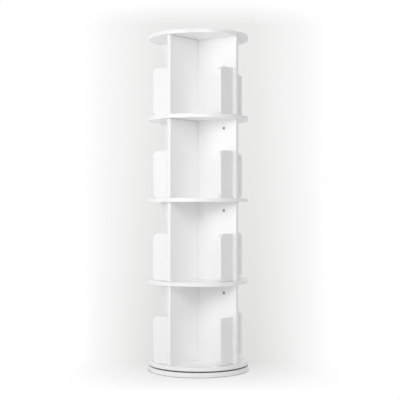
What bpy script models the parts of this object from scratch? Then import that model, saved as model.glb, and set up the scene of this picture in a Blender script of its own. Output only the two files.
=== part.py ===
"""Four-tier revolving bookcase of white board, as separate solids.

The origin is on the floor under the middle of the base, with +Z up.
Tiers are numbered from the bottom. In each tier a wide panel runs along X and
two half panels run along Y, so that four arms stand in a cross. Every arm
carries a short fence that keeps books from sliding out of its bay.
"""
import math
from collections import namedtuple

import bmesh
import bpy
from mathutils import Matrix, Vector

MM = 0.001

# Boards
TIERS = 4
DISC_DIAMETER = 400 * MM
BOARD = 15 * MM
BASE_BOARD = 18 * MM
CLEAR_HEIGHT = 310.5 * MM
PANEL_SETBACK = 9 * MM
RIM_EASE = 0.8 * MM
SEAT_GAP = 0.3 * MM

# Fences
FENCE_SETBACK = 14 * MM
FENCE_WIDTH = 83 * MM
FENCE_HEIGHT = 185 * MM
FENCE_FLOOR_GAP = 1 * MM
FENCE_CORNER_RADIUS = 20 * MM

# Turntable bearing
BEARING_GAP = 5.5 * MM
RING_RUNNING_GAP = 0.8 * MM
RING_SPACING = 1.6 * MM
RING_WIDTH = 12 * MM
BALL_CIRCLE_RADIUS = 138 * MM
BALL_DIAMETER = 2.6 * MM
BALL_CLEARANCE = 0.3 * MM
BALL_COUNT = 24
CAGE_THICKNESS = 0.8 * MM
CAGE_HEIGHT = 1.6 * MM

# Floor pads
PAD_THICKNESS = 1.5 * MM
PAD_DIAMETER = 30 * MM
PAD_INSET = 25 * MM
PAD_COUNT = 4

# Cam fittings: a cam in the panel below a shelf grips a stud from the panel above it
CAM_INSET = 60 * MM
CAM_DIAMETER = 12 * MM
CAM_LENGTH = 10 * MM
CAM_RECESS = 1.5 * MM
CAM_DROP = 34 * MM
STUD_DIAMETER = 6 * MM
STUD_BITE = 25 * MM

# Facets
DISC_STEPS = 64
CORNER_STEPS = 6
CAM_STEPS = 16
SMALL_STEPS = 8
BALL_RINGS = 5
GROOVE_STEPS = 4
MERGE_DISTANCE = 0.01 * MM
SMOOTH_ANGLE = math.radians(35)

# Places that follow from the sizes above
PANEL_REACH = DISC_DIAMETER / 2 - PANEL_SETBACK
CAM_REACH = PANEL_REACH - CAM_INSET
FENCE_MIDDLE = PANEL_REACH - FENCE_SETBACK - BOARD / 2
PAD_CIRCLE_RADIUS = DISC_DIAMETER / 2 - PAD_INSET
BASE_TOP = PAD_THICKNESS + BASE_BOARD
BALL_HEIGHT = BASE_TOP + BEARING_GAP / 2
TURNTABLE_BOTTOM = BASE_TOP + BEARING_GAP
TIER_PITCH = CLEAR_HEIGHT + BOARD
OVERALL_HEIGHT = TURNTABLE_BOTTOM + BOARD + TIERS * TIER_PITCH

# Arms in turn, counted about +Z from the arm along +X
ARM_NAMES = ("right", "back", "left", "front")
ALL_ARMS = range(len(ARM_NAMES))
FIRST_ARM = ARM_NAMES.index("right")
WIDE_PANEL_ARMS = [ARM_NAMES.index(name) for name in ("right", "left")]
HALF_PANEL_ARMS = [ARM_NAMES.index(name) for name in ("back", "front")]
QUARTER_TURN = math.radians(90)

Rod = namedtuple("Rod", "start axis length radius")
UP = Vector((0, 0, 1))
ACROSS = Vector((0, 1, 0))


# Scene and materials

def clear_scene():
    for item in list(bpy.data.objects):
        bpy.data.objects.remove(item, do_unlink=True)


def new_collection(name):
    collection = bpy.data.collections.new(name)
    bpy.context.scene.collection.children.link(collection)
    return collection


def new_material(name, colour, roughness, metallic=0.0):
    material = bpy.data.materials.new(name)
    material.use_nodes = True
    shader = material.node_tree.nodes["Principled BSDF"]
    shader.inputs["Base Color"].default_value = (*colour, 1.0)
    shader.inputs["Roughness"].default_value = roughness
    shader.inputs["Metallic"].default_value = metallic
    return material


def new_axis(name):
    """Empty on the bookcase's turning axis, which carries the pieces of one body."""
    axis = bpy.data.objects.new(name, None)
    parts.objects.link(axis)
    return axis


def add_piece(name, mesh, material, parent, height=0.0, arm=0):
    """Place a mesh at a height, turned to an arm."""
    piece = bpy.data.objects.new(name, mesh)
    piece.location = (0, 0, height)
    piece.rotation_euler = (0, 0, arm * QUARTER_TURN)
    piece.parent = parent
    if not mesh.materials:
        mesh.materials.append(material)
    parts.objects.link(piece)
    return piece


# Shapes

def baked(blank):
    """Mesh of an object with its modifiers applied. The object is removed."""
    evaluated = blank.evaluated_get(bpy.context.evaluated_depsgraph_get())
    mesh = bpy.data.meshes.new_from_object(evaluated)
    mesh.name = blank.name
    bpy.data.objects.remove(blank, do_unlink=True)
    return mesh


def welded(mesh):
    """The same mesh with its loose seams merged and its faces pointing out."""
    form = bmesh.new()
    form.from_mesh(mesh)
    bmesh.ops.remove_doubles(form, verts=form.verts, dist=MERGE_DISTANCE)
    bmesh.ops.recalc_face_normals(form, faces=form.faces)
    form.to_mesh(mesh)
    form.free()
    return mesh


def smooth(mesh):
    mesh.shade_smooth()
    mesh.set_sharp_from_angle(angle=SMOOTH_ANGLE)
    return mesh


def mesh_from(name, form):
    mesh = bpy.data.meshes.new(name)
    form.to_mesh(mesh)
    form.free()
    return mesh


def turned_mesh(name, profile, steps, closed=False):
    """Profile of (radius, height) points, down its outer side, turned about Z."""
    points = [(radius, 0, height) for radius, height in profile]
    edges = [(i, i + 1) for i in range(len(points) - 1)]
    if closed:
        edges.append((len(points) - 1, 0))
    outline = bpy.data.meshes.new(name)
    outline.from_pydata(points, edges, [])
    blank = bpy.data.objects.new(name, outline)
    parts.objects.link(blank)
    screw = blank.modifiers.new("turn", "SCREW")
    screw.axis = "Z"
    screw.steps = steps
    screw.render_steps = steps
    screw.use_merge_vertices = True
    screw.merge_threshold = MERGE_DISTANCE
    return smooth(welded(baked(blank)))


def plate_mesh(name, corners, thickness):
    """Flat outline of (x, z) corners, given thickness along Y about y = 0."""
    curve = bpy.data.curves.new(name, "CURVE")
    curve.dimensions = "2D"
    curve.fill_mode = "BOTH"
    curve.extrude = thickness / 2
    spline = curve.splines.new("POLY")
    spline.points.add(len(corners) - 1)
    for point, (x, z) in zip(spline.points, corners):
        point.co = (x, z, 0, 1)
    spline.use_cyclic_u = True
    blank = bpy.data.objects.new(name, curve)
    parts.objects.link(blank)
    mesh = baked(blank)
    mesh.transform(Matrix.Rotation(QUARTER_TURN, 4, "X"))
    return welded(mesh)


def box_mesh(name, low, high):
    form = bmesh.new()
    place = Matrix.Translation((low + high) / 2) @ Matrix.Diagonal((*(high - low), 1))
    bmesh.ops.create_cube(form, size=1, matrix=place)
    return mesh_from(name, form)


def rod_mesh(name, rods, steps):
    """Mesh of one or more straight rods."""
    form = bmesh.new()
    for rod in rods:
        middle = rod.start + rod.axis * (rod.length / 2)
        turn = UP.rotation_difference(rod.axis).to_matrix().to_4x4()
        bmesh.ops.create_cone(
            form, cap_ends=True, segments=steps, radius1=rod.radius, radius2=rod.radius,
            depth=rod.length, matrix=Matrix.Translation(middle) @ turn)
    return smooth(mesh_from(name, form))


def combined(mesh, tools, operation):
    """Mesh joined with, or cut by, a list of other meshes in turn."""
    blank = bpy.data.objects.new(mesh.name, mesh)
    parts.objects.link(blank)
    for tool in tools:
        cutter = bpy.data.objects.new(f"{tool.name}_cutter", tool)
        cutter.hide_render = True
        cutter.display_type = "WIRE"
        cutters.objects.link(cutter)
        boolean = blank.modifiers.new(operation.lower(), "BOOLEAN")
        boolean.operation = operation
        boolean.solver = "EXACT"
        boolean.object = cutter
    return baked(blank)


def bored(mesh, bores):
    """Mesh with clearance holes. Each bore is a list of rods and a facet count."""
    tools = [rod_mesh(f"{mesh.name}_bore", with_clearance(rods), steps) for rods, steps in bores]
    return combined(mesh, tools, "DIFFERENCE")


def with_clearance(rods):
    return [
        Rod(rod.start - rod.axis * SEAT_GAP, rod.axis, rod.length + 2 * SEAT_GAP, rod.radius + SEAT_GAP)
        for rod in rods]


def raised(rod, height):
    return rod._replace(start=rod.start + UP * height)


def on_arms(rods, arms):
    """Rods of the arm along X, repeated on the arms that are given by their number."""
    result = []
    for arm in arms:
        turn = Matrix.Rotation(arm * QUARTER_TURN, 3, "Z")
        result += [rod._replace(start=turn @ rod.start, axis=turn @ rod.axis) for rod in rods]
    return result


# Base, pads and bearing

def disc_bottom(number):
    """Underside of a disc of the carousel: 0 is the turntable and TIERS is the top."""
    return TURNTABLE_BOTTOM + number * TIER_PITCH


def tier_floor(tier):
    return disc_bottom(tier - 1) + BOARD


def disc_mesh(name, thickness):
    """Round board with eased rims. Its underside is at height 0."""
    radius = DISC_DIAMETER / 2
    profile = [
        (0, thickness), (radius - RIM_EASE, thickness), (radius, thickness - RIM_EASE),
        (radius, RIM_EASE), (radius - RIM_EASE, 0), (0, 0)]
    return turned_mesh(name, profile, DISC_STEPS)


def add_base(axis):
    add_piece("base_disc", disc_mesh("base_disc", BASE_BOARD), white_board, axis, PAD_THICKNESS)


def add_floor_pads(axis):
    """Round pads between the arms' directions, so that the base stands square."""
    for number in range(PAD_COUNT):
        angle = (number + 0.5) * math.tau / PAD_COUNT
        start = Vector((math.cos(angle), math.sin(angle), 0)) * PAD_CIRCLE_RADIUS
        name = f"floor_pad_{number + 1}"
        pad = Rod(start, UP, PAD_THICKNESS - SEAT_GAP, PAD_DIAMETER / 2)
        add_piece(name, rod_mesh(name, [pad], CAM_STEPS), felt, axis)


def groove_arc(side):
    """Points down a ball groove, on the ring outside (side 1) or inside (side -1) the balls."""
    groove = BALL_DIAMETER / 2 + BALL_CLEARANCE
    half_turn = math.acos(RING_SPACING / 2 / groove)
    points = []
    for step in range(GROOVE_STEPS + 1):
        angle = half_turn * (1 - 2 * step / GROOVE_STEPS)
        radius = BALL_CIRCLE_RADIUS + side * groove * math.cos(angle)
        points.append((radius, BALL_HEIGHT + groove * math.sin(angle)))
    return points


def add_outer_ring(axis):
    """Fixed ring of the bearing, which sits on the base."""
    bottom = BASE_TOP + SEAT_GAP
    top = TURNTABLE_BOTTOM - RING_RUNNING_GAP
    inside = BALL_CIRCLE_RADIUS + RING_SPACING / 2
    outside = inside + RING_WIDTH
    groove = reversed(groove_arc(1))
    profile = [(outside, top), (outside, bottom), (inside, bottom), *groove, (inside, top)]
    mesh = turned_mesh("bearing_outer_ring", profile, DISC_STEPS, closed=True)
    add_piece("bearing_outer_ring", mesh, aluminium, axis)


def add_inner_ring(axis):
    """Turning ring of the bearing, which hangs under the turntable."""
    bottom = BASE_TOP + RING_RUNNING_GAP
    top = TURNTABLE_BOTTOM - SEAT_GAP
    outside = BALL_CIRCLE_RADIUS - RING_SPACING / 2
    inside = outside - RING_WIDTH
    profile = [(outside, top), *groove_arc(-1), (outside, bottom), (inside, bottom), (inside, top)]
    mesh = turned_mesh("bearing_inner_ring", profile, DISC_STEPS, closed=True)
    add_piece("bearing_inner_ring", mesh, aluminium, axis)


def add_ball_ring(axis):
    """Balls of the bearing, held apart by the thin cage that runs between the rings."""
    inside = BALL_CIRCLE_RADIUS - CAGE_THICKNESS / 2
    outside = inside + CAGE_THICKNESS
    top = BALL_HEIGHT + CAGE_HEIGHT / 2
    bottom = top - CAGE_HEIGHT
    profile = [(outside, top), (outside, bottom), (inside, bottom), (inside, top)]
    cage = turned_mesh("bearing_ball_ring", profile, DISC_STEPS, closed=True)
    form = bmesh.new()
    for number in range(BALL_COUNT):
        turn = Matrix.Rotation(number * math.tau / BALL_COUNT, 4, "Z")
        place = turn @ Matrix.Translation((BALL_CIRCLE_RADIUS, 0, BALL_HEIGHT))
        bmesh.ops.create_uvsphere(
            form, u_segments=SMALL_STEPS, v_segments=BALL_RINGS, radius=BALL_DIAMETER / 2, matrix=place)
    balls = smooth(mesh_from("balls", form))
    add_piece("bearing_ball_ring", combined(cage, [balls], "UNION"), steel, axis)


# Cam fittings. Heights count from the underside of the shelf that they hold.

def stud_rod():
    """Stud of the arm along X, from inside its cam up through the shelf into the next panel."""
    start = Vector((CAM_REACH, 0, -CAM_DROP))
    return Rod(start, UP, CAM_DROP + BOARD + STUD_BITE, STUD_DIAMETER / 2)


def cam_rod():
    start = Vector((CAM_REACH, CAM_RECESS - BOARD / 2, -CAM_DROP))
    return Rod(start, ACROSS, CAM_LENGTH, CAM_DIAMETER / 2)


def cam_pocket_rod():
    """The cam with the open recess in front of it."""
    cam = cam_rod()
    return cam._replace(start=cam.start - ACROSS * CAM_RECESS, length=CAM_LENGTH + CAM_RECESS)


def add_cam_fittings(axis):
    cam = rod_mesh("cam_fitting", [cam_rod()], CAM_STEPS)
    fitting = combined(cam, [rod_mesh("stud", [stud_rod()], SMALL_STEPS)], "UNION")
    for tier in range(1, TIERS):
        for arm in ALL_ARMS:
            name = f"tier{tier}_{ARM_NAMES[arm]}_cam_fitting"
            add_piece(name, fitting, zinc, axis, disc_bottom(tier), arm)


# Boards of the carousel

def add_discs(axis):
    add_piece("turntable_disc", disc_mesh("turntable_disc", BOARD), white_board, axis, disc_bottom(0))
    shelf = bored(disc_mesh("shelf_disc", BOARD), [(on_arms([stud_rod()], ALL_ARMS), SMALL_STEPS)])
    for number in range(1, TIERS):
        add_piece(f"shelf_disc_{number}", shelf, white_board, axis, disc_bottom(number))
    add_piece("top_disc", disc_mesh("top_disc", BOARD), white_board, axis, disc_bottom(TIERS))


def arm_bores(tier, arms):
    """Bores for the fittings in a tier's panels on some arms, counted from the tier's floor."""
    bores = []
    if tier < TIERS:
        bores.append((on_arms([raised(cam_pocket_rod(), CLEAR_HEIGHT)], arms), CAM_STEPS))
        bores.append((on_arms([raised(stud_rod(), CLEAR_HEIGHT)], arms), SMALL_STEPS))
    if tier > 1:
        bores.append((on_arms([raised(stud_rod(), -BOARD)], arms), SMALL_STEPS))
    return bores


def panel_mesh(name, inner_end, bores):
    """Upright panel along X, from its inner end to its reach."""
    low = Vector((inner_end, -BOARD / 2, SEAT_GAP))
    high = Vector((PANEL_REACH, BOARD / 2, CLEAR_HEIGHT - SEAT_GAP))
    return bored(box_mesh(name, low, high), bores)


def fence_outline():
    """Corners of a fence seen from its face, with its free end at low x."""
    near = -BOARD / 2 - SEAT_GAP
    far = near - FENCE_WIDTH
    low = FENCE_FLOOR_GAP
    high = low + FENCE_HEIGHT
    radius = FENCE_CORNER_RADIUS
    corners = [(near, low), (near, high)]
    for middle_height, first_turn in ((high - radius, 1), (low + radius, 2)):
        for step in range(CORNER_STEPS + 1):
            angle = QUARTER_TURN * (first_turn + step / CORNER_STEPS)
            x = far + radius + radius * math.cos(angle)
            corners.append((x, middle_height + radius * math.sin(angle)))
    return corners


def fence_mesh():
    """Fence of the arm along X. It stands out from the arm's face towards -Y."""
    mesh = plate_mesh("fence", fence_outline(), BOARD)
    mesh.transform(Matrix.Translation((FENCE_MIDDLE, 0, 0)) @ Matrix.Rotation(QUARTER_TURN, 4, "Z"))
    return smooth(mesh)


def add_tiers(axis):
    fence = fence_mesh()
    for tier in range(1, TIERS + 1):
        floor = tier_floor(tier)
        wide_panel = panel_mesh("wide_panel", -PANEL_REACH, arm_bores(tier, WIDE_PANEL_ARMS))
        half_panel = panel_mesh("half_panel", BOARD / 2 + SEAT_GAP, arm_bores(tier, [FIRST_ARM]))
        add_piece(f"tier{tier}_wide_panel", wide_panel, white_board, axis, floor)
        for arm in HALF_PANEL_ARMS:
            add_piece(f"tier{tier}_{ARM_NAMES[arm]}_panel", half_panel, white_board, axis, floor, arm)
        for arm in ALL_ARMS:
            add_piece(f"tier{tier}_{ARM_NAMES[arm]}_fence", fence, white_board, axis, floor, arm)


clear_scene()
parts = new_collection("revolving_bookcase")
cutters = new_collection("cutters")

white_board = new_material("white_board", (0.86, 0.86, 0.86), 0.4)
aluminium = new_material("aluminium", (0.62, 0.62, 0.63), 0.35, 1.0)
steel = new_material("steel", (0.5, 0.5, 0.51), 0.3, 1.0)
zinc = new_material("zinc", (0.36, 0.36, 0.37), 0.5, 1.0)
felt = new_material("felt", (0.2, 0.2, 0.2), 0.95)

base_origin = new_axis("base_origin")
carousel_axis = new_axis("carousel_axis")
ball_ring_axis = new_axis("ball_ring_axis")

add_base(base_origin)
add_floor_pads(base_origin)
add_outer_ring(base_origin)
add_ball_ring(ball_ring_axis)
add_inner_ring(carousel_axis)
add_discs(carousel_axis)
add_tiers(carousel_axis)
add_cam_fittings(carousel_axis)
print(f"Overall height {OVERALL_HEIGHT / MM:.0f} mm, diameter {DISC_DIAMETER / MM:.0f} mm")
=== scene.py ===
# %% [markdown]
# # A white revolving bookcase
# The bookcase is a stack of round boards with a cross of upright panels in each tier, and all of it turns on
# a ball bearing over a fixed base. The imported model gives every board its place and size. This lesson
# measures those first, then dresses each board with eased edges, edge bands, fittings and real finishes.

# %% Load the frame
import math

import bpy
import numpy as np
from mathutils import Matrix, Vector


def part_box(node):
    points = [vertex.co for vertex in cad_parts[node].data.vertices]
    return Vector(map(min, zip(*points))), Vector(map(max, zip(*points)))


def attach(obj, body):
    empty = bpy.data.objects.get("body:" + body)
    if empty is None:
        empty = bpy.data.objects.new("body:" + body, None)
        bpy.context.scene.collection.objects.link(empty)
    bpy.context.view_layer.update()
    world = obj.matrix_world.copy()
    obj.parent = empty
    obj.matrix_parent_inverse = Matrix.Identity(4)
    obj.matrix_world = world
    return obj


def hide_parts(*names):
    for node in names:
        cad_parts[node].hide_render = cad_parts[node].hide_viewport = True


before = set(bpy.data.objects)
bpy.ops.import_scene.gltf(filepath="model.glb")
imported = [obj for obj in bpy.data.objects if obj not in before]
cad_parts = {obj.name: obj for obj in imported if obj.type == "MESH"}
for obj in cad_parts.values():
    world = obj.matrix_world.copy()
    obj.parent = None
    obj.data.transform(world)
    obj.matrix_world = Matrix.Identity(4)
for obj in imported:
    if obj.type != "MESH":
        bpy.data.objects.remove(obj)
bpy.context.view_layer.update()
MM = 0.001
print("Solids in the frame:", len(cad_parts))

# %% [markdown]
# ## Sizes
# Nothing is measured twice: thickness, reach and height all come from the boxes of the solids. An arm is one
# quarter of the cross. It is modelled along +X and then turned about the axis that the bookcase spins on.

# %% Tiers, arms and boxes
TIERS = 4
ARM_NAMES = ("right", "back", "left", "front")
ARMS = len(ARM_NAMES)
RIGHT, BACK, LEFT, FRONT = range(ARMS)
ACROSS = np.array((1.0, 0.0, 0.0))
DEEP = np.array((0.0, 1.0, 0.0))
UP = np.array((0.0, 0.0, 1.0))


def node_box(node):
    """Lowest and highest corner of a solid at rest, as two arrays."""
    low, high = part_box(node)
    return np.array(low), np.array(high)


def turned(points, arm):
    """Points turned about the axis by as many quarter turns as the arm's number."""
    sine = (0, 1, 0, -1)[arm]
    cosine = (1, 0, -1, 0)[arm]
    return points @ np.array(((cosine, sine, 0), (-sine, cosine, 0), (0, 0, 1)))


def arm_box(node, arm):
    """Lowest and highest corner of a solid that is turned back from its arm to the one along +X."""
    corners = turned(np.array(node_box(node)), (ARMS - arm) % ARMS)
    return corners.min(axis=0), corners.max(axis=0)


panel_low, panel_high = node_box("tier1_wide_panel")
board = panel_high[1] - panel_low[1]
print(f"Panels are {board / MM:.1f} mm thick and reach {panel_high[0] / MM:.0f} mm from the axis")

# %% [markdown]
# ## Colours and nodes
# Paint charts and photographs give colours as sRGB hex values, while shaders add light up in linear values.
# One function turns the first into the second. A second one adds a shader node, so that each material below
# reads as a short list of what its surface is made of.

# %% Colour and node helpers


def linear(hex_colour):
    """Linear RGBA of an sRGB hex colour: the sRGB curve is undone for each channel."""
    channels = np.array([int(hex_colour[start:start + 2], 16) / 255 for start in (1, 3, 5)])
    straight = np.where(channels <= 0.04045, channels / 12.92, ((channels + 0.055) / 1.055) ** 2.4)
    return (*straight, 1.0)


def add_node(tree, kind, settings=None, links=None):
    """Add a node, then set its properties and sockets and link its inputs. Sockets go by name or number."""
    node = tree.nodes.new(kind)
    for key, value in (settings or {}).items():
        if isinstance(key, str) and hasattr(node, key):
            setattr(node, key, value)
        else:
            node.inputs[key].default_value = value
    for key, source in (links or {}).items():
        tree.links.new(source, node.inputs[key])
    return node


def new_material(name, **constants):
    """Material, node tree and Principled shader. The shader's named sockets hold the constants."""
    material = bpy.data.materials.new(name)
    material.use_nodes = True
    shader = material.node_tree.nodes["Principled BSDF"]
    for socket, value in constants.items():
        shader.inputs[socket.replace("_", " ")].default_value = value
    return material, material.node_tree, shader


# A colour Mix node has one set of sockets per data type. These are the numbers of its colour sockets.
MIX_FACTOR, MIX_FIRST, MIX_SECOND, MIX_RESULT = 0, 6, 7, 2
print("White paper is", [round(channel, 3) for channel in linear("#f5f5f5")[:3]], "in linear light")

# %% [markdown]
# ## White board
# The boards are chipboard faced with white melamine paper. It is pressed against a finely grained steel
# plate, which leaves a satin face with a grain that only shows in a raking light. The sawn edges are closed
# with a 1 mm ABS band. It is a little smoother than the face, and a hairline of glue shows where the two
# meet. The faces that look at each other across the bearing are grey: backing paper, and painted shade that
# darkens the gap between them. Two attributes, one for the band and one for the grey faces, are written by
# the mesh code and tell the shader where they are.

# %% Finish of the boards
PRESS_GRAIN = 1.6 * MM       # true grain is near 0.5 mm, drawn coarser so that it shows at all
PRESS_DEPTH = 0.012 * MM
PAPER_CLOUD = 70 * MM        # slow change of tone in the paper
RUB_WIDTH = 9 * MM           # faint marks left by books that were slid in and out
RUB_LENGTH = 90 * MM
RUB_MARKS = {"From Min": 0.66, "From Max": 0.8, "To Max": 0.16}  # only strong streaks show, and faintly
BOARD_ROUGHNESS = {"To Min": 0.32, "To Max": 0.28}  # of the face and of the band


def melamine_board():
    """Satin white with soft highlights, grey hairlines along the edges and the faintest rub marks."""
    material, tree, shader = new_material("white_melamine_board_pressed", IOR=1.5)
    place = add_node(tree, "ShaderNodeTexCoord").outputs["Object"]
    band = add_node(tree, "ShaderNodeAttribute", {"attribute_name": "band"}).outputs["Fac"]
    backing_and_gap_shade = add_node(tree, "ShaderNodeAttribute", {"attribute_name": "backing_and_gap_shade"}).outputs["Fac"]

    cloud = add_node(tree, "ShaderNodeTexNoise", {"Scale": 1 / PAPER_CLOUD, "Detail": 3.0}, {"Vector": place})
    paper = add_node(
        tree, "ShaderNodeMix",
        {"data_type": "RGBA", MIX_FIRST: linear("#f5f5f5"), MIX_SECOND: linear("#f8f8f8")},
        {MIX_FACTOR: cloud.outputs["Fac"]})

    stretch = (1 / RUB_WIDTH, 1 / RUB_WIDTH, 1 / RUB_LENGTH)
    along = add_node(tree, "ShaderNodeMapping", {"Scale": stretch}, {"Vector": place})
    streaks = add_node(
        tree, "ShaderNodeTexNoise", {"Scale": 1.0, "Detail": 4.0}, {"Vector": along.outputs["Vector"]})
    rubbed = add_node(tree, "ShaderNodeMapRange", RUB_MARKS, {"Value": streaks.outputs["Fac"]})
    face = add_node(
        tree, "ShaderNodeMix", {"data_type": "RGBA", MIX_SECOND: linear("#d2d0cb")},
        {MIX_FACTOR: rubbed.outputs["Result"], MIX_FIRST: paper.outputs[MIX_RESULT]})

    # Grey on the faces across the bearing: backing paper, and painted shade that darkens the gap between
    # them.
    faced_and_gap_shaded = add_node(
        tree, "ShaderNodeMix", {"data_type": "RGBA", MIX_SECOND: linear("#d0cfcb")},
        {MIX_FACTOR: backing_and_gap_shade, MIX_FIRST: face.outputs[MIX_RESULT]})

    banded = add_node(
        tree, "ShaderNodeMix", {"data_type": "RGBA", MIX_SECOND: linear("#f7f7f7")},
        {MIX_FACTOR: band, MIX_FIRST: faced_and_gap_shaded.outputs[MIX_RESULT]})
    hairline = add_node(tree, "ShaderNodeMath", {"operation": "PINGPONG", 1: 0.5}, {0: band})
    glued = add_node(
        tree, "ShaderNodeMix", {"data_type": "RGBA", MIX_SECOND: linear("#8f8c86")},
        {MIX_FACTOR: hairline.outputs["Value"], MIX_FIRST: banded.outputs[MIX_RESULT]})
    tree.links.new(glued.outputs[MIX_RESULT], shader.inputs["Base Color"])

    satin = add_node(tree, "ShaderNodeMapRange", BOARD_ROUGHNESS, {"Value": band})
    tree.links.new(satin.outputs["Result"], shader.inputs["Roughness"])
    grain = add_node(
        tree, "ShaderNodeTexNoise", {"Scale": 1 / PRESS_GRAIN, "Detail": 2.0}, {"Vector": place})
    relief = add_node(
        tree, "ShaderNodeBump", {"Strength": 0.5, "Distance": PRESS_DEPTH}, {"Height": grain.outputs["Fac"]})
    tree.links.new(relief.outputs["Normal"], shader.inputs["Normal"])
    return material


white_board = melamine_board()
print("Finish made:", white_board.name)

# %% [markdown]
# ## A board as a surface
# A real board has no knife edge: its rim is eased by hand after banding. A Bevel modifier could do that, but
# then the band would have nowhere to be marked. Here one profile runs from the lower face, round the eased
# edge, up the rim and on to the upper face, and it is carried along the board's outline. The middle of each
# face closes with one flat polygon, because a flat face needs no more.

# %% Profile of a banded edge
EASE = 0.8 * MM              # radius of the eased edge
BAND = 1.0 * MM              # thickness of the edge band
GLUE_LINE = 0.2 * MM         # true line is thinner, drawn this wide so that it shows close up
FLAT_RUN = 2.2 * MM          # how far in the flat face starts, so that shading leaves it flat
EASE_POINTS = 5


def banded_edge(thickness):
    """Inset, height and band share of a board's edge, from the lower face to the upper one.

    The lower half is three points on the face, a quarter circle of the eased radius and one point on the rim.
    The upper half is the lower half mirrored about the middle of the thickness.
    """
    turn = np.linspace(-math.pi / 2, 0, EASE_POINTS)
    inset = np.concatenate(([FLAT_RUN, BAND + GLUE_LINE, BAND], EASE * (1 - np.cos(turn)), [0]))
    height = np.concatenate(([0, 0, 0], EASE * (1 + np.sin(turn)), [2 * EASE]))
    band = np.where(inset > BAND, 0.0, 1.0)
    return (np.concatenate((inset, inset[::-1])), np.concatenate((height, thickness - height[::-1])),
            np.concatenate((band, band[::-1])))


def carried(inset, height, outline, outward):
    """Grid of points: each one is an outline point moved in by the inset and raised by the height."""
    flat = outline[None] - inset[:, None, None] * outward[None]
    raised = np.broadcast_to(height[:, None, None], (*flat.shape[:2], 1))
    return np.concatenate((flat, raised), axis=2)


def placed(grid, corner, along, upright):
    """Grid moved into the frame: its three coordinates run along two directions and their cross product."""
    axes = np.stack((along, upright, np.cross(along, upright)))
    return corner + grid @ axes


print("Points on a banded edge:", len(banded_edge(board)[0]))

# %% [markdown]
# A grid becomes a mesh when each row is joined to the next and its last column to its first. The first and
# last row are closed with a polygon each, so that every piece is a closed shell with its faces outwards.

# %% From a grid to a piece


def closed_faces(rows, columns, start=0):
    """Faces of a grid that runs round: four-sided ones between the rows and a polygon at either end.

    The grid's points are numbered row by row from the start.
    """
    index = start + np.arange(rows * columns).reshape(rows, columns)
    onward = np.roll(index, -1, axis=1)
    sides = np.stack((index[:-1], onward[:-1], onward[1:], index[1:]), axis=2).reshape(-1, 4)
    return [*sides.tolist(), index[0][::-1].tolist(), index[-1].tolist()]


def new_piece(name, grids, material, body, nodes=(), marks=None):
    """Piece made of closed grids, which rides on a body and stands for the nodes given.

    Marks are names with one value per row of a grid, kept as attributes for the shader.
    """
    points = np.concatenate([grid.reshape(-1, 3) for grid in grids])
    faces = []
    start = 0
    for grid in grids:
        faces += closed_faces(*grid.shape[:2], start)
        start += grid.shape[0] * grid.shape[1]
    mesh = bpy.data.meshes.new(name)
    mesh.from_pydata(points.tolist(), [], faces)
    mesh.shade_smooth()
    mesh.materials.append(material)
    for title, values in (marks or {}).items():
        layer = mesh.attributes.new(title, "FLOAT", "POINT")
        per_point = [np.repeat(values, grid.shape[1]) for grid in grids]
        layer.data.foreach_set("value", np.concatenate(per_point).astype(np.float32))
    piece = bpy.data.objects.new(name, mesh)
    bpy.context.scene.collection.objects.link(piece)
    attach(piece, body)
    if nodes:
        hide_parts(*nodes)
    return piece


print("A grid of 3 rows and 4 columns has", len(closed_faces(3, 4)), "faces")

# %% [markdown]
# ## Round boards
# The base, the turntable, three shelves and the top are all cut to one circle. The path is that circle in
# enough steps to look round when close, and its outward direction at each point is the point's own direction.
# The base and the turntable look at each other across the bearing, and there both are grey: backing paper,
# and painted shade that darkens the gap between them.

# %% Discs
RIM_STEPS = 192
UPPER_FACE, LOWER_FACE = 1, -1


def circle(radius, steps):
    """Points on a circle and the direction outwards at each: the cosine and sine of even angles."""
    angle = np.arange(steps) * math.tau / steps
    outward = np.stack((np.cos(angle), np.sin(angle)), axis=1)
    return radius * outward, outward


def round_board(node, body, backed_and_shaded=0):
    """Disc in place of a solid: the banded edge carried round a circle as wide as the solid.

    Rows on the given face's side of the middle that aren't band are marked grey, as backing paper and as
    painted shade for the gap across the bearing.
    """
    low, high = node_box(node)
    thickness = high[2] - low[2]
    outline, outward = circle((high[0] - low[0]) / 2, RIM_STEPS)
    inset, height, band = banded_edge(thickness)
    # Grey on the face across the bearing: backing paper, and painted shade that darkens the gap.
    backing_and_gap_shade = np.where(backed_and_shaded * (height - thickness / 2) > 0, 1 - band, 0)
    grid = placed(carried(inset, height, outline, outward), UP * low[2], ACROSS, DEEP)
    return new_piece(
        f"{node}_board", [grid], white_board, body, [node], {"band": band, "backing_and_gap_shade": backing_and_gap_shade})


round_board("base_disc", "base", UPPER_FACE)
round_board("turntable_disc", "carousel", LOWER_FACE)
disc_names = (*(f"shelf_disc_{number}" for number in range(1, TIERS)), "top_disc")
discs = [round_board(node, "carousel") for node in disc_names]
print("Round boards:", len(discs) + 2)

# %% [markdown]
# ## Upright panels
# One wide panel runs right across each tier, and two half panels meet it in the middle. Below every shelf
# they are drilled for cam fittings: a round pocket in the face, some way in from the end. The path is the
# panel's outline with tight corners. The pocket is cut by a Boolean whose result is kept, because a drilled
# hole is just that: one form taken out of another.

# %% Outline with rounded corners
CORNER = 2.6 * MM            # corners of a board, a little wider than the run of its edge profile
CORNER_STEPS = 8


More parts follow.
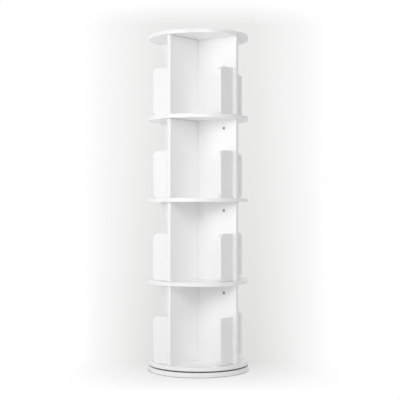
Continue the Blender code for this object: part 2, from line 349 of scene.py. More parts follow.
def rounded_outline(low, high, radii):
    """Outline of a rectangle with a radius per corner, and the direction outwards at each of its points.

    Each corner is a quarter circle, with one more point a little before and after it on the straight sides.
    Corners run anticlockwise from the high one.
    """
    side = np.array(((1, 1), (-1, 1), (-1, -1), (1, -1)))
    radii = np.array(radii)[:, None]
    middle = np.where(side > 0, high, low) - side * radii
    angle = math.pi / 2 * (np.arange(4)[:, None] + np.linspace(0, 1, CORNER_STEPS + 1))
    outward = np.stack((np.cos(angle), np.sin(angle)), axis=2)
    onward = np.stack((-np.sin(angle), np.cos(angle)), axis=2)
    arc = middle[:, None] + radii[:, None] * outward
    before = arc[:, :1] - FLAT_RUN * onward[:, :1]
    after = arc[:, -1:] + FLAT_RUN * onward[:, -1:]
    outline = np.concatenate((before, arc, after), axis=1)
    facing = np.concatenate((outward[:, :1], outward, outward[:, -1:]), axis=1)
    return outline.reshape(-1, 2), facing.reshape(-1, 2)


print("Points round a panel:", len(rounded_outline((0, 0), (1, 1), [CORNER] * 4)[0]))

# %% [markdown]
# A cutter is a throw-away object that the Boolean takes out of the panel, and it is removed once the result
# is kept. The pocket is placed from the cam's own box: its middle and radius set the circle, and its inner
# end sets the depth.

# %% Cut a pocket
POCKET_PLAY = 0.3 * MM
POCKET_STEPS = 48
POCKET_EDGE = math.radians(40)  # a sharper bend than this is shaded as an edge


def cut(piece, grid):
    """Take the closed form of a grid out of a piece, and keep the result as the piece's own mesh."""
    mesh = bpy.data.meshes.new("cutter")
    mesh.from_pydata(grid.reshape(-1, 3).tolist(), [], closed_faces(*grid.shape[:2]))
    cutter = bpy.data.objects.new("cutter", mesh)
    bpy.context.scene.collection.objects.link(cutter)
    drill = piece.modifiers.new("pocket", "BOOLEAN")
    drill.object = cutter
    graph = bpy.context.evaluated_depsgraph_get()
    drilled = bpy.data.meshes.new_from_object(piece.evaluated_get(graph))
    piece.modifiers.clear()
    piece.data = drilled
    drilled.set_sharp_from_angle(angle=POCKET_EDGE)
    bpy.data.objects.remove(cutter)
    bpy.data.meshes.remove(mesh)


def cam_place(tier, arm):
    """Middle of a cam's front, its radius and the depth of its pocket, on the arm along +X."""
    low, high = arm_box(f"tier{tier}_{ARM_NAMES[arm]}_cam_fitting", arm)
    radius = (high[0] - low[0]) / 2
    return np.array(((low[0] + high[0]) / 2, low[1], low[2] + radius)), radius, high[1] + board / 2


def pocket_grid(tier, arm):
    """Two circles, one in front of the panel's face and one at the pocket's floor, turned to their arm."""
    middle, radius, depth = cam_place(tier, arm)
    outline, outward = circle(radius + POCKET_PLAY, POCKET_STEPS)
    floor_to_front = np.array((-depth, board))
    grid = carried(np.zeros(2), floor_to_front, outline, outward)
    face = np.array((middle[0], -board / 2, middle[2]))
    return turned(placed(grid, face, ACROSS, UP), arm)


print(f"Pockets are {2 * (cam_place(1, RIGHT)[1] + POCKET_PLAY) / MM:.1f} mm wide")

# %% [markdown]
# A panel is carried round its outline like any board. How much an end is eased depends on what it meets: a
# free end is eased all round, while an end that stands on or against another board is sawn nearly square.

# %% Panels
TOP_JOINT = 1.0 * MM         # further open than the solid's own seat, so that the line shows
SAWN = 0.1                   # share of the easing left on an end that meets another board


def upright_panel(node, tier, arms):
    """Panel in place of a solid, drilled for the cams of its arms below every shelf but the top.

    Its foot stands flat on the disc below. The wide panel also carries the disc above, and a half panel's
    inner end is butted against the wide panel. All these ends are sawn nearly square. Above a half panel a
    fine joint is left open.
    """
    quarter = arms[0]
    low, high = arm_box(node, quarter)
    low[2] = node_box("turntable_disc" if tier == 1 else f"shelf_disc_{tier - 1}")[1][2]
    low_ease = np.array((1.0, SAWN))
    high_ease = np.array((1.0, SAWN))
    if len(arms) == 1:
        low[0] = board / 2
        high[2] -= TOP_JOINT
        low_ease[0] = SAWN
        high_ease[1] = 1.0
    else:
        high[2] = node_box("top_disc" if tier == TIERS else f"shelf_disc_{tier}")[0][2]
    outline, outward = rounded_outline(low[[0, 2]], high[[0, 2]], [CORNER] * 4)
    outward *= np.where(outward < 0, low_ease, high_ease)
    inset, height, band = banded_edge(board)
    grid = placed(carried(inset, height, outline, outward), DEEP * high[1], ACROSS, UP)
    piece = new_piece(
        f"{node}_board", [turned(grid, quarter)], white_board, "carousel", [node],
        {"band": band})
    if tier < TIERS:
        for arm in arms:
            cut(piece, pocket_grid(tier, arm))
    return piece


for tier in range(1, TIERS + 1):
    upright_panel(f"tier{tier}_wide_panel", tier, (RIGHT, LEFT))
    upright_panel(f"tier{tier}_back_panel", tier, (BACK,))
    upright_panel(f"tier{tier}_front_panel", tier, (FRONT,))
print("Upright panels:", 3 * TIERS)

# %% [markdown]
# ## Fences
# A short board stands across the outer end of every arm and keeps the books from sliding out. Its free end
# has two wide rounded corners, so the same outline does the job with two large radii and two tight ones.

# %% Fences
FENCE_CORNER = 20 * MM


def fence(tier, arm):
    """Fence in place of a solid: the banded edge carried round an outline with a rounded free end."""
    node = f"tier{tier}_{ARM_NAMES[arm]}_fence"
    low, high = arm_box(node, arm)
    radii = (CORNER, FENCE_CORNER, FENCE_CORNER, CORNER)
    outline, outward = rounded_outline(low[1:], high[1:], radii)
    inset, height, band = banded_edge(board)
    grid = placed(carried(inset, height, outline, outward), ACROSS * low[0], DEEP, UP)
    return new_piece(
        f"{node}_board", [turned(grid, arm)], white_board, "carousel", [node], {"band": band})


fences = [fence(tier, arm) for tier in range(1, TIERS + 1) for arm in range(ARMS)]
print("Fences:", len(fences))

# %% [markdown]
# ## Cam fittings
# A cam is a small zinc casting that is turned with a screwdriver to pull a stud, and so the shelf, down onto
# the panel. It is tumbled after casting, which leaves a dull grey skin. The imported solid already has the
# barrel and the stud, so it stays, and a face with a cross recess and a pointer notch is laid over its front.
# That face is a height worked out from two parameters: how far from the middle, and in which direction.

# %% Finish of the cams
CAST_GRAIN = 0.9 * MM        # true grain is near 0.2 mm, drawn coarser so that it shows close up
CAST_DEPTH = 0.05 * MM
TUMBLED = 3.0 * MM           # size of the clouds that tumbling leaves
CAST_ROUGHNESS = {"To Min": 0.42, "To Max": 0.62}


def die_cast_zinc():
    """Dull grey metal with a cloudy skin, and painted shade that darkens the driver's recess."""
    material, tree, shader = new_material("die_cast_zinc_tumbled", Metallic=1.0)
    place = add_node(tree, "ShaderNodeTexCoord").outputs["Object"]
    recess = add_node(tree, "ShaderNodeAttribute", {"attribute_name": "recess"}).outputs["Fac"]
    skin = add_node(tree, "ShaderNodeTexNoise", {"Scale": 1 / TUMBLED, "Detail": 3.0}, {"Vector": place})
    metal = add_node(
        tree, "ShaderNodeMix",
        {"data_type": "RGBA", MIX_FIRST: linear("#8f9092"), MIX_SECOND: linear("#b5b6b8")},
        {MIX_FACTOR: skin.outputs["Fac"]})
    # Painted shade: the driver's recess is darkened in step with its depth.
    recess_painted_shade = add_node(
        tree, "ShaderNodeMix", {"data_type": "RGBA", MIX_SECOND: linear("#2b2b2c")},
        {MIX_FACTOR: recess, MIX_FIRST: metal.outputs[MIX_RESULT]})
    tree.links.new(recess_painted_shade.outputs[MIX_RESULT], shader.inputs["Base Color"])
    dull = add_node(tree, "ShaderNodeMapRange", CAST_ROUGHNESS, {"Value": skin.outputs["Fac"]})
    tree.links.new(dull.outputs["Result"], shader.inputs["Roughness"])
    grain = add_node(tree, "ShaderNodeTexNoise", {"Scale": 1 / CAST_GRAIN}, {"Vector": place})
    relief = add_node(
        tree, "ShaderNodeBump", {"Strength": 0.6, "Distance": CAST_DEPTH}, {"Height": grain.outputs["Fac"]})
    tree.links.new(relief.outputs["Normal"], shader.inputs["Normal"])
    return material


zinc = die_cast_zinc()
print("Finish made:", zinc.name)

# %% [markdown]
# All measures of a driver face are shares of its radius, so that one function serves cams and screws. The
# recess is a product of two soft limits, one along a bar of the cross and one across it. The larger of two
# such bars at right angles is the cross.

# %% Driver face
FACE_STEPS = 96
FACE_RINGS = 36
FACE_SINK = 0.3 * MM         # how far a face reaches back into what carries it
FACE_RIM = 0.93              # share of the radius where the eased rim ends
RIM_RINGS = 3
INNER_RINGS = (0.9, 0.02)    # shares of the first and the last ring inside it
RIM_HEIGHT = 0.6             # share of the height that is left at the rim
CROSS_REACH = 0.52           # half the length of a bar of the cross
CROSS_WIDTH = 0.12           # half its width
NOTCH_START = 0.62           # where the wedge of the notch begins, at a point
NOTCH_OPEN = 0.66            # and where it is wide enough to be cut
NOTCH_SPREAD = 0.35          # how fast it widens towards the rim
RECESS_SLOPE = 0.06          # width of the slope at the sides of a recess
RECESS_DEPTH = 0.85          # share of the height that a recess takes away
RECESS_EDGE = math.radians(50)  # a sharper bend than this is shaded as an edge


def within(distance, limit, soft):
    """1 inside the limit, 0 outside, with an even slope of the soft width between them."""
    return np.clip((limit - np.abs(distance)) / soft + 0.5, 0, 1)


def driver_face(radius, height, notch):
    """Face with a cross recess, as a grid of points and how deep each one lies in the recess.

    Rings shrink from the rim to the middle. Two bars at right angles make the cross, and where the notch is
    asked for, a narrow wedge at the rim points up. The first row drops to close the side.
    """
    rim = np.linspace(1, FACE_RIM, RIM_RINGS)
    share = np.concatenate(([1.0], rim, np.linspace(*INNER_RINGS, FACE_RINGS)))
    angle = np.arange(FACE_STEPS) * math.tau / FACE_STEPS
    x = radius * share[:, None] * np.cos(angle)
    y = radius * share[:, None] * np.sin(angle)
    soft = RECESS_SLOPE * radius
    reach = CROSS_REACH * radius
    width = CROSS_WIDTH * radius
    level_bar = within(x, reach, soft) * within(y, width, soft)
    upright_bar = within(y, reach, soft) * within(x, width, soft)
    cross = np.maximum(level_bar, upright_bar)
    inside_rim = share[:, None] < FACE_RIM
    opening = (y - NOTCH_START * radius) * NOTCH_SPREAD
    wedge = within(x, opening, soft) * (y > NOTCH_OPEN * radius) * inside_rim
    recess = np.maximum(cross, wedge * notch)
    rise = (1 - share) / (1 - FACE_RIM)
    eased = height * np.clip(RIM_HEIGHT + (1 - RIM_HEIGHT) * rise, 0, 1)[:, None]
    level = eased - RECESS_DEPTH * height * recess
    level[0] = -FACE_SINK
    return np.stack((x, y, level), axis=2), recess


def mark_recess(piece, depths):
    """Keep the recess depths of a piece's points for its shader."""
    layer = piece.data.attributes.new("recess", "FLOAT", "POINT")
    layer.data.foreach_set("value", np.concatenate([depth.ravel() for depth in depths]).astype(np.float32))
    piece.data.set_sharp_from_angle(angle=RECESS_EDGE)


print("Points of a driver face:", driver_face(1.0, 1.0, notch=0)[1].size)

# %% [markdown]
# The twelve cams are the same but for their arm. Each gets a face of its own and keeps its solid, which is
# given the zinc finish in place of the plain one that it came with.

# %% Cams
FACE_HEIGHT = 0.6 * MM


def cam_face(tier, arm):
    """Driver face on the front of a cam, looking out of its pocket."""
    middle, radius, _ = cam_place(tier, arm)
    grid, recess = driver_face(radius, FACE_HEIGHT, notch=1)
    grid = turned(placed(grid, middle, ACROSS, UP), arm)
    piece = new_piece(f"tier{tier}_{ARM_NAMES[arm]}_cam_face", [grid], zinc, "carousel")
    mark_recess(piece, [recess])


def finish_node(node, material):
    """Give a solid that stays as it is a finish of its own."""
    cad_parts[node].data.materials.clear()
    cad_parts[node].data.materials.append(material)


for tier in range(1, TIERS):
    for arm in range(ARMS):
        cam_face(tier, arm)
        finish_node(f"tier{tier}_{ARM_NAMES[arm]}_cam_fitting", zinc)
print("Cams:", ARMS * (TIERS - 1))

# %% [markdown]
# ## Bearing
# Two aluminium rings run one inside the other, with steel balls in the grooves between them. The solids have
# those grooves and balls already, so they stay and only get their finish. Rolled aluminium shows fine lines
# that run round the ring, drawn here by rings about the axis. Polished balls need next to nothing: a clear
# reflection with a little smear of oil.

# %% Finish of the bearing
ROLLED_LINE = 0.6 * MM       # true lines are finer, drawn this wide so that they show close up
ROLLED_DEPTH = 0.02 * MM
WAVE_PERIOD = math.tau / 20  # length of one wave of Blender's ring pattern at a scale of 1
ROLLED_ROUGHNESS = {"To Min": 0.28, "To Max": 0.42}
OIL_SMEAR = 5 * MM
OILED_ROUGHNESS = {"To Min": 0.08, "To Max": 0.3}


def rolled_aluminium():
    """Pale silvery metal whose fine round lines stretch the highlights."""
    material, tree, shader = new_material("aluminium_rolled", Metallic=1.0, Anisotropic=0.4)
    place = add_node(tree, "ShaderNodeTexCoord").outputs["Object"]
    lines = add_node(
        tree, "ShaderNodeTexWave",
        {"wave_type": "RINGS", "rings_direction": "Z", "Scale": WAVE_PERIOD / ROLLED_LINE, "Distortion": 1.5,
         "Detail": 3.0},
        {"Vector": place})
    metal = add_node(
        tree, "ShaderNodeMix",
        {"data_type": "RGBA", MIX_FIRST: linear("#b9babb"), MIX_SECOND: linear("#cfd0d1")},
        {MIX_FACTOR: lines.outputs["Fac"]})
    tree.links.new(metal.outputs[MIX_RESULT], shader.inputs["Base Color"])
    drawn = add_node(tree, "ShaderNodeMapRange", ROLLED_ROUGHNESS, {"Value": lines.outputs["Fac"]})
    tree.links.new(drawn.outputs["Result"], shader.inputs["Roughness"])
    relief = add_node(
        tree, "ShaderNodeBump", {"Strength": 0.3, "Distance": ROLLED_DEPTH}, {"Height": lines.outputs["Fac"]})
    tree.links.new(relief.outputs["Normal"], shader.inputs["Normal"])
    return material


def polished_steel():
    """Bright hard metal with a clear reflection, clouded here and there by oil."""
    material, tree, shader = new_material("chrome_steel_polished", Metallic=1.0)
    place = add_node(tree, "ShaderNodeTexCoord").outputs["Object"]
    oil = add_node(tree, "ShaderNodeTexNoise", {"Scale": 1 / OIL_SMEAR, "Detail": 3.0}, {"Vector": place})
    metal = add_node(
        tree, "ShaderNodeMix",
        {"data_type": "RGBA", MIX_FIRST: linear("#bcbcba"), MIX_SECOND: linear("#a9a598")},
        {MIX_FACTOR: oil.outputs["Fac"]})
    tree.links.new(metal.outputs[MIX_RESULT], shader.inputs["Base Color"])
    smeared = add_node(tree, "ShaderNodeMapRange", OILED_ROUGHNESS, {"Value": oil.outputs["Fac"]})
    tree.links.new(smeared.outputs["Result"], shader.inputs["Roughness"])
    return material


aluminium = rolled_aluminium()
steel = polished_steel()
finish_node("bearing_outer_ring", aluminium)
finish_node("bearing_inner_ring", aluminium)
finish_node("bearing_ball_ring", steel)
print("Finishes made:", aluminium.name, steel.name)

# %% [markdown]
# ## Under the base
# Four felt pads keep the base off the floor, and four countersunk screws hold the bearing's fixed ring. A pad
# is a disc punched from a needled felt sheet, so its edge is soft. The screws take the same driver face as
# the cams, without the notch.

# %% Felt pads
FELT_TUFT = 1.2 * MM
FELT_DEPTH = 0.3 * MM
PAD_COUNT = 4
PAD_SOFTNESS = 0.7 * MM
PAD_STEPS = 64
PAD_EDGE_POINTS = 9


def needle_felt():
    """Dark grey matted fibres with no shine but a faint fuzz at grazing angles."""
    material, tree, shader = new_material(
        "grey_felt_needled", Roughness=0.95, Sheen_Weight=0.35, Sheen_Roughness=0.6)
    place = add_node(tree, "ShaderNodeTexCoord").outputs["Object"]
    tufts = add_node(
        tree, "ShaderNodeTexNoise", {"Scale": 1 / FELT_TUFT, "Detail": 6.0, "Distortion": 1.5},
        {"Vector": place})
    fibres = add_node(
        tree, "ShaderNodeMix",
        {"data_type": "RGBA", MIX_FIRST: linear("#3d3d3e"), MIX_SECOND: linear("#7a7a79")},
        {MIX_FACTOR: tufts.outputs["Fac"]})
    tree.links.new(fibres.outputs[MIX_RESULT], shader.inputs["Base Color"])
    relief = add_node(
        tree, "ShaderNodeBump", {"Strength": 0.8, "Distance": FELT_DEPTH}, {"Height": tufts.outputs["Fac"]})
    tree.links.new(relief.outputs["Normal"], shader.inputs["Normal"])
    return material


def felt_pad(node, material):
    """Pad in place of a solid: half an ellipse carried round a circle, so that the punched edge is soft."""
    low, high = node_box(node)
    middle = (low + high) / 2
    outline, outward = circle((high[0] - low[0]) / 2, PAD_STEPS)
    turn = np.linspace(-math.pi / 2, math.pi / 2, PAD_EDGE_POINTS)
    inset = np.concatenate(([2 * PAD_SOFTNESS], PAD_SOFTNESS * (1 - np.cos(turn)), [2 * PAD_SOFTNESS]))
    height = (high[2] - low[2]) * (1 + np.sin(np.concatenate((turn[:1], turn, turn[-1:])))) / 2
    corner = np.array((middle[0], middle[1], low[2]))
    grid = placed(carried(inset, height, outline, outward), corner, ACROSS, DEEP)
    return new_piece(f"{node}_felt", [grid], material, "base", [node])


felt = needle_felt()
pads = [felt_pad(f"floor_pad_{number}", felt) for number in range(1, PAD_COUNT + 1)]
print("Felt pads:", len(pads))

# %% [markdown]
# The screws stand below the fixed ring of the bearing, so their circle is measured from that ring. All four
# heads are one piece, because they never part.

# %% Base screws
SCREW_RADIUS = 4 * MM
SCREW_DOME = 0.3 * MM
SCREW_COUNT = 4
SCREW_INSET = 6 * MM         # from the ring's outside to the screws, about half the ring's width

_, ring_high = node_box("bearing_outer_ring")
base_low, _ = node_box("base_disc")
screw_circle = ring_high[0] - SCREW_INSET
screw_places, _ = circle(screw_circle, SCREW_COUNT)
screw_grids = []
screw_depths = []
for x, y in screw_places:
    grid, recess = driver_face(SCREW_RADIUS, SCREW_DOME, notch=0)
    screw_grids.append(placed(grid, np.array((x, y, base_low[2])), ACROSS, -DEEP))
    screw_depths.append(recess)
screws = new_piece("base_screws", screw_grids, zinc, "base")
mark_recess(screws, screw_depths)
print(f"Base screws: {SCREW_COUNT}, {screw_circle / MM:.0f} mm from the axis")

# %% [markdown]
# ## Camera
# The picture is taken from some way off with a long lens, at about half the bookcase's height and level, so
# uprights stay upright. Three sizes set it: how far round the bookcase the camera stands, how far away, and
# how high. The small shift puts the axis where it stands in the frame.

# %% Camera
VIEW_TURN = math.radians(37.2)
VIEW_DISTANCE = 4.0
EYE_HEIGHT = 0.6836
PIXELS = 400                 # width of the picture
FOCAL_PIXELS = 991           # length of the lens in the same pixels
AXIS_COLUMN = 198.5          # and the column in which the axis stands
SENSOR = 36                  # width in millimetres

lens = bpy.data.cameras.new("studio_camera")
lens.sensor_width = SENSOR
lens.lens = SENSOR * FOCAL_PIXELS / PIXELS
lens.shift_x = (PIXELS / 2 - AXIS_COLUMN) / PIXELS
camera = bpy.data.objects.new("studio_camera", lens)
camera.location = (VIEW_DISTANCE * math.sin(VIEW_TURN), -VIEW_DISTANCE * math.cos(VIEW_TURN), EYE_HEIGHT)
camera.rotation_euler = (math.pi / 2, 0, VIEW_TURN)
bpy.context.scene.collection.objects.link(camera)
bpy.context.scene.camera = camera
bpy.context.scene.view_settings.view_transform = "Standard"
print(f"Lens {lens.lens:.1f} mm")

# %% [markdown]
# ## Studio
# White furniture is shot with much soft light and little direct light. Three parts of the room give most of
# it: the wall on the left, and two windows high up, one to the right of the camera and one behind. So no side
# is left dark. Three soft boxes stand round the front at the height of the upper tiers. They tell one white
# board from the next and leave a short soft shadow below every disc. A smaller one hangs close above the top
# disc, which the others hardly reach.

# %% Room
PART_POWER = 6.0             # power of the cosine: the higher, the smaller the lit part of the room
WINDOW_RISE = math.radians(35)
LEFT_TURN = math.radians(-90)
RIGHT_TURN = math.radians(45)
BACK_TURN = math.radians(180)
LEFT_WALL = 2.93             # level at the middle of each part, where plain white is 1
RIGHT_WINDOW = 1.31
BACK_WINDOW = 1.74


def towards(turn, rise):
    """Direction at a turn about the axis, from the front to the right, and at a rise above the level."""
    return (math.cos(rise) * math.sin(turn), -math.cos(rise) * math.cos(turn), math.sin(rise))


def background_rays(tree):
    """1 for a ray that looks at the background, straight, through glass or off a gloss, and 0 for light."""
    path = add_node(tree, "ShaderNodeLightPath")
    straight = add_node(
        tree, "ShaderNodeMath", {"operation": "MAXIMUM"},
        {0: path.outputs["Is Camera Ray"], 1: path.outputs["Is Transmission Ray"]})
    looks = add_node(
        tree, "ShaderNodeMath", {"operation": "MAXIMUM"},
        {0: straight.outputs["Value"], 1: path.outputs["Is Glossy Ray"]})
    return looks.outputs["Value"]


def lit_part(tree, middle, level):
    """Light of one part of the room: its level times the cosine to its middle, to a power."""
    direction = add_node(tree, "ShaderNodeTexCoord").outputs["Generated"]
    cosine = add_node(tree, "ShaderNodeVectorMath", {"operation": "DOT_PRODUCT", 1: middle}, {0: direction})
    ahead = add_node(
        tree, "ShaderNodeMath", {"operation": "MAXIMUM", 1: 0.0}, {0: cosine.outputs["Value"]})
    narrowed = add_node(
        tree, "ShaderNodeMath", {"operation": "POWER", 1: PART_POWER}, {0: ahead.outputs["Value"]})
    lit = add_node(
        tree, "ShaderNodeMath", {"operation": "MULTIPLY", 1: level}, {0: narrowed.outputs["Value"]})
    return lit.outputs["Value"]


def white_room():
    """World that lights the bookcase from three parts of the room and is white to the camera and in gloss."""
    world = bpy.data.worlds.new("white_room")
    world.use_nodes = True
    tree = world.node_tree
    background = tree.nodes["Background"]
    background.inputs["Color"].default_value = linear("#ffffff")
    left = lit_part(tree, towards(LEFT_TURN, 0), LEFT_WALL)
    right = lit_part(tree, towards(RIGHT_TURN, WINDOW_RISE), RIGHT_WINDOW)
    back = lit_part(tree, towards(BACK_TURN, WINDOW_RISE), BACK_WINDOW)
    sides = add_node(tree, "ShaderNodeMath", {"operation": "ADD"}, {0: left, 1: right})
    room = add_node(tree, "ShaderNodeMath", {"operation": "ADD"}, {0: sides.outputs["Value"], 1: back})
    level = add_node(
        tree, "ShaderNodeMapRange", {"To Max": 1.0},
        {"Value": background_rays(tree), "To Min": room.outputs["Value"]})
    tree.links.new(level.outputs["Result"], background.inputs["Strength"])
    bpy.context.scene.world = world


white_room()
print("Parts of the room that give light: 3")

# %% [markdown]
# A soft box is a square area lamp. Its power is worked out from the level that it should give on the
# bookcase, so that a box can be moved nearer or further away without a change in brightness.

# %% Soft boxes
SOFT_BOX_AIM = 0.9           # height of the point on the axis that all soft boxes look at
FRONT_BOX = {"distance": 2.3, "size": 0.9}
TOP_BOX = {"distance": 0.0, "size": 0.4}


def soft_box(name, turn, height, level, distance, size):
    """Square lamp that looks at the axis from a turn about it in degrees, a height and a distance.

    Its power gives the level asked for to a white sheet that is held square to it at the point it looks at.
    """
    drop = height - SOFT_BOX_AIM
    lamp = bpy.data.lights.new(name, "AREA")
    lamp.energy = level * math.pi ** 2 * (distance ** 2 + drop ** 2)
    lamp.size = size
    holder = bpy.data.objects.new(name, lamp)
    holder.location = distance * np.array(towards(math.radians(turn), 0)) + height * UP
    holder.rotation_euler = (math.atan2(distance, drop), 0, math.radians(turn))
    bpy.context.scene.collection.objects.link(holder)
    return lamp.energy


powers = (soft_box("soft_box_left", turn=-12, height=1.2, level=0.232, **FRONT_BOX),
          soft_box("soft_box_middle", turn=12, height=1.03, level=0.100, **FRONT_BOX),
          soft_box("soft_box_right", turn=48, height=1.55, level=0.183, **FRONT_BOX),
          soft_box("soft_box_above", turn=0, height=2.1, level=0.115, **TOP_BOX))
print("Soft boxes of", [round(power, 1) for power in powers], "W")

# %% [markdown]
# White boards send most of the light on to the next board, so in a bay it goes back and forth many times.
# Blender stops after four diffuse bounces unless told otherwise, and that leaves the corners too dark.

# %% Bounces of light
BOUNCES = 12
bpy.context.scene.cycles.diffuse_bounces = BOUNCES
print("Bounces from board to board:", BOUNCES)

# %% [markdown]
# A white bookcase on white paper would lose its outline, so the paper has a soft shade. It is deepest low
# down behind the bookcase and fades to white further out. A photographer gets it from the fall of the light,
# and here it is mixed into the paper's colour, because more light would wash the boards out. One function
# says how the shade fades to the sides, and a second one turns a shade into what the camera sees.

# %% Shade of the paper
SHADE_COLOUR = "#5a5a42"
SHADE_ASIDE = 0.03           # the middle of the shade stands this far to the right of the axis
SHADE_SIDES = (0.2, 0.54)    # distances to either side between which it fades out
SHADE_LOW = 0.30             # share of the shade's colour where the upright sheet meets the floor
SHADE_HIGH = 0.19            # and at the height of the top disc


def shade_across(tree, across):
    """Share of the shade at a distance to the side: whole in the middle and none past its sides."""
    from_middle = add_node(tree, "ShaderNodeMath", {"operation": "SUBTRACT", 1: SHADE_ASIDE}, {0: across})
    aside = add_node(tree, "ShaderNodeMath", {"operation": "ABSOLUTE"}, {0: from_middle.outputs["Value"]})
    fade = add_node(
        tree, "ShaderNodeMapRange",
        {"From Min": SHADE_SIDES[0], "From Max": SHADE_SIDES[1], "To Min": 1.0, "To Max": 0.0},
        {"Value": aside.outputs["Value"]})
    return fade.outputs["Result"]


def paper_tone(tree, shade):
    """Plain white as the camera sees it, mixed with the shade's colour by the share given."""
    tone = add_node(
        tree, "ShaderNodeMix",
        {"data_type": "RGBA", MIX_FIRST: linear("#ffffff"), MIX_SECOND: linear(SHADE_COLOUR)},
        {MIX_FACTOR: shade})
    glow = add_node(tree, "ShaderNodeEmission", {"Strength": 1.0}, {"Color": tone.outputs[MIX_RESULT]})
    return glow.outputs["Emission"]


def flat_sheet(name, corners, material):
    """One flat four-sided sheet, square to the camera, part of the studio and not of the bookcase."""
    mesh = bpy.data.meshes.new(name)
    mesh.from_pydata(corners, [], [(0, 1, 2, 3)])
    mesh.materials.append(material)
    sheet = bpy.data.objects.new(name, mesh)
    sheet.rotation_euler = (0, 0, VIEW_TURN)
    bpy.context.scene.collection.objects.link(sheet)
    return sheet


print(f"Shade of the paper from {SHADE_HIGH} at the top to {SHADE_LOW} at the foot")

# %% [markdown]
# The backdrop is an upright sheet that only the camera sees, because the room already gives the light. The
# floor is a pale sheet that takes part in the light. To the camera it is mixed with the tone of the paper,
# and what is left of its own shading keeps the soft shadow round the base.

# %% Floor and backdrop
FLOOR_REACH = 6.0
FLOOR_WHITE = 0.8            # share of the paper's plain tone that the camera sees in the floor by the base
FLOOR_FADE = (0.2, 0.5)      # distances from the axis between which that share grows to the whole
FLOOR_COVER = (0.203, 0.207)  # and those between which the floor comes out from under the base
SHADE_FRONT = 0.46           # distance in front of the axis where the floor's shade starts
SHADE_END = 0.35             # distance behind the backdrop over which it ends
BACKDROP_BEHIND = 0.24       # distance from the axis to the backdrop, just clear of the boards
BACKDROP_WIDTH = 1.2
BACKDROP_HEIGHT = 1.7
BACKDROP_FADE = (1.43, 1.53)  # heights between which the shade ends above the bookcase
BACKDROP_THIN = 0.05         # share of the shade below which the backdrop turns clear


def floor_paper():
    """Matt pale paper that looks nearly white to the camera and still takes a shadow."""
    material, tree, shader = new_material("pale_floor_paper", Roughness=0.9, Specular_IOR_Level=0.0)
    shader.inputs["Base Color"].default_value = linear("#f2f2f2")
    place = add_node(tree, "ShaderNodeTexCoord").outputs["Object"]
    apart = add_node(tree, "ShaderNodeSeparateXYZ", {}, {"Vector": place})
    away = add_node(tree, "ShaderNodeVectorMath", {"operation": "LENGTH"}, {0: place})
    depth = add_node(
        tree, "ShaderNodeMapRange",
        {"From Min": -SHADE_FRONT, "From Max": BACKDROP_BEHIND, "To Max": SHADE_LOW},
        {"Value": apart.outputs["Y"]})
    before = add_node(
        tree, "ShaderNodeMapRange",
        {"From Min": BACKDROP_BEHIND, "From Max": BACKDROP_BEHIND + SHADE_END, "To Min": 1.0, "To Max": 0.0},
        {"Value": apart.outputs["Y"]})
    across = add_node(
        tree, "ShaderNodeMath", {"operation": "MULTIPLY"},
        {0: before.outputs["Result"], 1: shade_across(tree, apart.outputs["X"])})
    shade = add_node(
        tree, "ShaderNodeMath", {"operation": "MULTIPLY"},
        {0: depth.outputs["Result"], 1: across.outputs["Value"]})
    whiter = add_node(
        tree, "ShaderNodeMapRange",
        {"From Min": FLOOR_FADE[0], "From Max": FLOOR_FADE[1], "To Min": FLOOR_WHITE, "To Max": 1.0},
        {"Value": away.outputs["Value"]})
    clear = add_node(
        tree, "ShaderNodeMapRange", {"From Min": FLOOR_COVER[0], "From Max": FLOOR_COVER[1]},
        {"Value": away.outputs["Value"]})
    open_floor = add_node(
        tree, "ShaderNodeMath", {"operation": "MULTIPLY"},
        {0: clear.outputs["Result"], 1: whiter.outputs["Result"]})
    share = add_node(
        tree, "ShaderNodeMath", {"operation": "MULTIPLY"},
        {0: open_floor.outputs["Value"], 1: background_rays(tree)})
    mixed = add_node(
        tree, "ShaderNodeMixShader", {},
        {0: share.outputs["Value"], 1: shader.outputs["BSDF"], 2: paper_tone(tree, shade.outputs["Value"])})
    tree.links.new(mixed.outputs["Shader"], tree.nodes["Material Output"].inputs["Surface"])
    return material


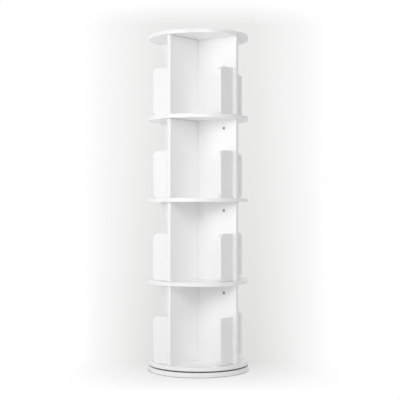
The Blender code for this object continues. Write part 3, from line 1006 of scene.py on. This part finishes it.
def backdrop_paper():
    """White paper with a shade that grows with the square of the depth below its top.

    It is clear from behind and where it has no shade, so that no edge shows from the side.
    """
    material, tree, _ = new_material("white_backdrop_paper")
    place = add_node(tree, "ShaderNodeTexCoord").outputs["Object"]
    apart = add_node(tree, "ShaderNodeSeparateXYZ", {}, {"Vector": place})
    drop = add_node(
        tree, "ShaderNodeMapRange", {"From Max": BACKDROP_FADE[0], "To Min": 1.0, "To Max": 0.0},
        {"Value": apart.outputs["Z"]})
    square = add_node(tree, "ShaderNodeMath", {"operation": "POWER", 1: 2.0}, {0: drop.outputs["Result"]})
    depth = add_node(
        tree, "ShaderNodeMath", {"operation": "MULTIPLY_ADD", 1: SHADE_LOW - SHADE_HIGH, 2: SHADE_HIGH},
        {0: square.outputs["Value"]})
    below = add_node(
        tree, "ShaderNodeMapRange",
        {"From Min": BACKDROP_FADE[0], "From Max": BACKDROP_FADE[1], "To Min": 1.0, "To Max": 0.0},
        {"Value": apart.outputs["Z"]})
    across = add_node(
        tree, "ShaderNodeMath", {"operation": "MULTIPLY"},
        {0: below.outputs["Result"], 1: shade_across(tree, apart.outputs["X"])})
    shade = add_node(
        tree, "ShaderNodeMath", {"operation": "MULTIPLY"},
        {0: depth.outputs["Value"], 1: across.outputs["Value"]})
    behind = add_node(tree, "ShaderNodeNewGeometry").outputs["Backfacing"]
    thin = add_node(
        tree, "ShaderNodeMapRange", {"From Max": BACKDROP_THIN, "To Min": 1.0, "To Max": 0.0},
        {"Value": shade.outputs["Value"]})
    unseen = add_node(
        tree, "ShaderNodeMath", {"operation": "MAXIMUM"}, {0: behind, 1: thin.outputs["Result"]})
    clear = add_node(tree, "ShaderNodeBsdfTransparent")
    mixed = add_node(
        tree, "ShaderNodeMixShader", {},
        {0: unseen.outputs["Value"], 1: paper_tone(tree, shade.outputs["Value"]), 2: clear.outputs["BSDF"]})
    tree.links.new(mixed.outputs["Shader"], tree.nodes["Material Output"].inputs["Surface"])
    return material


def backdrop():
    """Upright sheet behind the bookcase, seen by the camera alone."""
    half = BACKDROP_WIDTH / 2
    away = BACKDROP_BEHIND
    top = BACKDROP_HEIGHT
    corners = [(-half, away, 0), (half, away, 0), (half, away, top), (-half, away, top)]
    sheet = flat_sheet("backdrop", corners, backdrop_paper())
    sheet.visible_diffuse = False
    sheet.visible_glossy = False
    sheet.visible_transmission = False
    sheet.visible_shadow = False


def floor():
    """Wide level sheet that the bookcase stands on."""
    reach = FLOOR_REACH
    corners = [(-reach, -reach, 0), (reach, -reach, 0), (reach, reach, 0), (-reach, reach, 0)]
    flat_sheet("floor", corners, floor_paper())


floor()
backdrop()
print("Backdrop", BACKDROP_BEHIND, "m behind the axis")
